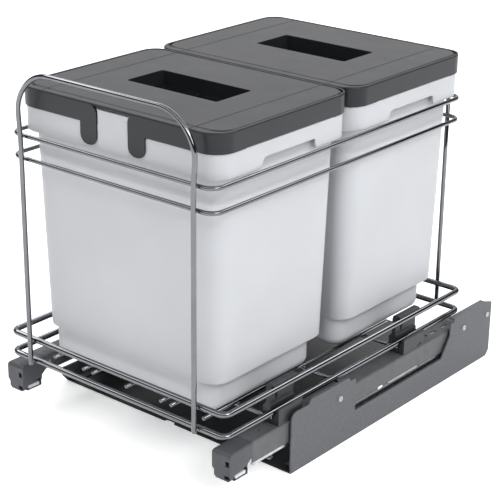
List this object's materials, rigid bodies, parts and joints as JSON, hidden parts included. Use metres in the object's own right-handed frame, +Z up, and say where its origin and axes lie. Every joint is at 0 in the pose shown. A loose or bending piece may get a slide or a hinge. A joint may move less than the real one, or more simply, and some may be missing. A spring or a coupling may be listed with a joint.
{
  "type": "pull-out waste bin unit",
  "caption": "Base-mounted pull-out waste unit: two grey lidded bins in a chromed wire basket with an arch handle, on full-extension runners and side brackets.",
  "frame": {"origin": "centre of the overall box at the underside of the base plate, on the cabinet floor", "axes": "+Z up, -Y is the front towards which the unit pulls out, +X to the right seen from the front"},
  "size_m": [0.3594, 0.5206, 0.4319],
  "materials": {
    "base_coat": "fine satin powder coat, anthracite",
    "bracket_coat": "fine-textured grey powder coat",
    "zinc": "zinc plated",
    "white_plastic": "satin",
    "cap_plastic": "fine matt",
    "dark_plastic": "fine matt",
    "pad_plastic": "satin",
    "chrome_wire": "bright chrome plate",
    "bin_plastic": "satin light grey",
    "lid_plastic": "satin dark grey"
  },
  "bodies": {
    "base": {"base_plate": "base_coat", "floor_screw_front_left": "zinc", "floor_screw_front_right": "zinc", "floor_screw_rear_left": "zinc", "floor_screw_rear_right": "zinc", "bracket_left": "bracket_coat", "bracket_right": "bracket_coat", "bracket_fixing_front_left": "white_plastic", "bracket_fixing_front_right": "white_plastic", "bracket_fixing_middle_left": "white_plastic", "bracket_fixing_middle_right": "white_plastic", "bracket_fixing_rear_left": "white_plastic", "bracket_fixing_rear_right": "white_plastic", "fixed_rail_left": "zinc", "fixed_rail_right": "zinc", "soft_close_unit_left": "dark_plastic", "soft_close_unit_right": "dark_plastic"},
    "inner_cages": {"inner_roller_cage_left": "white_plastic", "inner_roller_cage_right": "white_plastic"},
    "middle_rails": {"middle_rail_left": "zinc", "middle_rail_right": "zinc"},
    "outer_cages": {"outer_roller_cage_left": "white_plastic", "outer_roller_cage_right": "white_plastic"},
    "drawer": {"drawer_rail_left": "zinc", "drawer_rail_right": "zinc", "runner_cover_left": "base_coat", "runner_cover_right": "base_coat", "end_cap_left": "cap_plastic", "end_cap_right": "cap_plastic", "basket_clip_front_left": "dark_plastic", "basket_clip_front_right": "dark_plastic", "basket_clip_rear_left": "dark_plastic", "basket_clip_rear_right": "dark_plastic", "lower_loop_bottom": "chrome_wire", "lower_loop_top": "chrome_wire", "upper_loop_bottom": "chrome_wire", "upper_loop_top": "chrome_wire", "arch_handle": "chrome_wire", "rear_upright_left": "chrome_wire", "rear_upright_right": "chrome_wire", "floor_wire_middle": "chrome_wire", "floor_wire_1_left": "chrome_wire", "floor_wire_1_right": "chrome_wire", "floor_wire_2_left": "chrome_wire", "floor_wire_2_right": "chrome_wire", "floor_wire_3_left": "chrome_wire", "floor_wire_3_right": "chrome_wire", "cross_wire_front": "chrome_wire", "cross_wire_middle": "chrome_wire", "cross_wire_rear": "chrome_wire"},
    "lever_left": {"release_lever_left": "dark_plastic", "lever_pad_left": "pad_plastic"},
    "lever_right": {"release_lever_right": "dark_plastic", "lever_pad_right": "pad_plastic"},
    "front_bin": {"bin_front": "bin_plastic"},
    "rear_bin": {"bin_rear": "bin_plastic"},
    "front_lid": {"lid_frame_front": "lid_plastic"},
    "rear_lid": {"lid_frame_rear": "lid_plastic"},
    "front_panel": {"lid_panel_front": "lid_plastic"},
    "rear_panel": {"lid_panel_rear": "lid_plastic"}
  },
  "joints": [
    {"name": "pull_out", "type": "slide", "parent": "base", "child": "drawer", "axis": [0, -1, 0], "range_m": [0, 0.42]},
    {"name": "inner_cage_slide", "type": "slide", "parent": "base", "child": "inner_cages", "axis": [0, -1, 0], "range_m": [0, 0.105]},
    {"name": "middle_rail_slide", "type": "slide", "parent": "base", "child": "middle_rails", "axis": [0, -1, 0], "range_m": [0, 0.21]},
    {"name": "outer_cage_slide", "type": "slide", "parent": "base", "child": "outer_cages", "axis": [0, -1, 0], "range_m": [0, 0.315]},
    {"name": "lever_left_press", "type": "hinge", "parent": "drawer", "child": "lever_left", "pos_m": [-0.1615, -0.2222, 0.0364], "axis": [1, 0, 0], "range_deg": [0, 12], "stiffness_Nm_per_rad": 0.02, "springref_deg": -11.46},
    {"name": "lever_right_press", "type": "hinge", "parent": "drawer", "child": "lever_right", "pos_m": [0.1615, -0.2222, 0.0364], "axis": [1, 0, 0], "range_deg": [0, 12], "stiffness_Nm_per_rad": 0.02, "springref_deg": -11.46},
    {"name": "front_bin_lift", "type": "slide", "parent": "drawer", "child": "front_bin", "axis": [0, 0, 1], "range_m": [0, 0.36]},
    {"name": "front_lid_lift", "type": "slide", "parent": "front_bin", "child": "front_lid", "axis": [0, 0, 1], "range_m": [0, 0.08]},
    {"name": "front_panel_lift", "type": "slide", "parent": "front_lid", "child": "front_panel", "axis": [0, 0, 1], "range_m": [0, 0.05]},
    {"name": "rear_bin_lift", "type": "slide", "parent": "drawer", "child": "rear_bin", "axis": [0, 0, 1], "range_m": [0, 0.36]},
    {"name": "rear_lid_lift", "type": "slide", "parent": "rear_bin", "child": "rear_lid", "axis": [0, 0, 1], "range_m": [0, 0.08]},
    {"name": "rear_panel_lift", "type": "slide", "parent": "rear_lid", "child": "rear_panel", "axis": [0, 0, 1], "range_m": [0, 0.05]}
  ],
  "couplings": [
    {"joint": "inner_cage_slide", "follows": "pull_out", "ratio": 0.25},
    {"joint": "middle_rail_slide", "follows": "pull_out", "ratio": 0.5},
    {"joint": "outer_cage_slide", "follows": "pull_out", "ratio": 0.75}
  ]
}
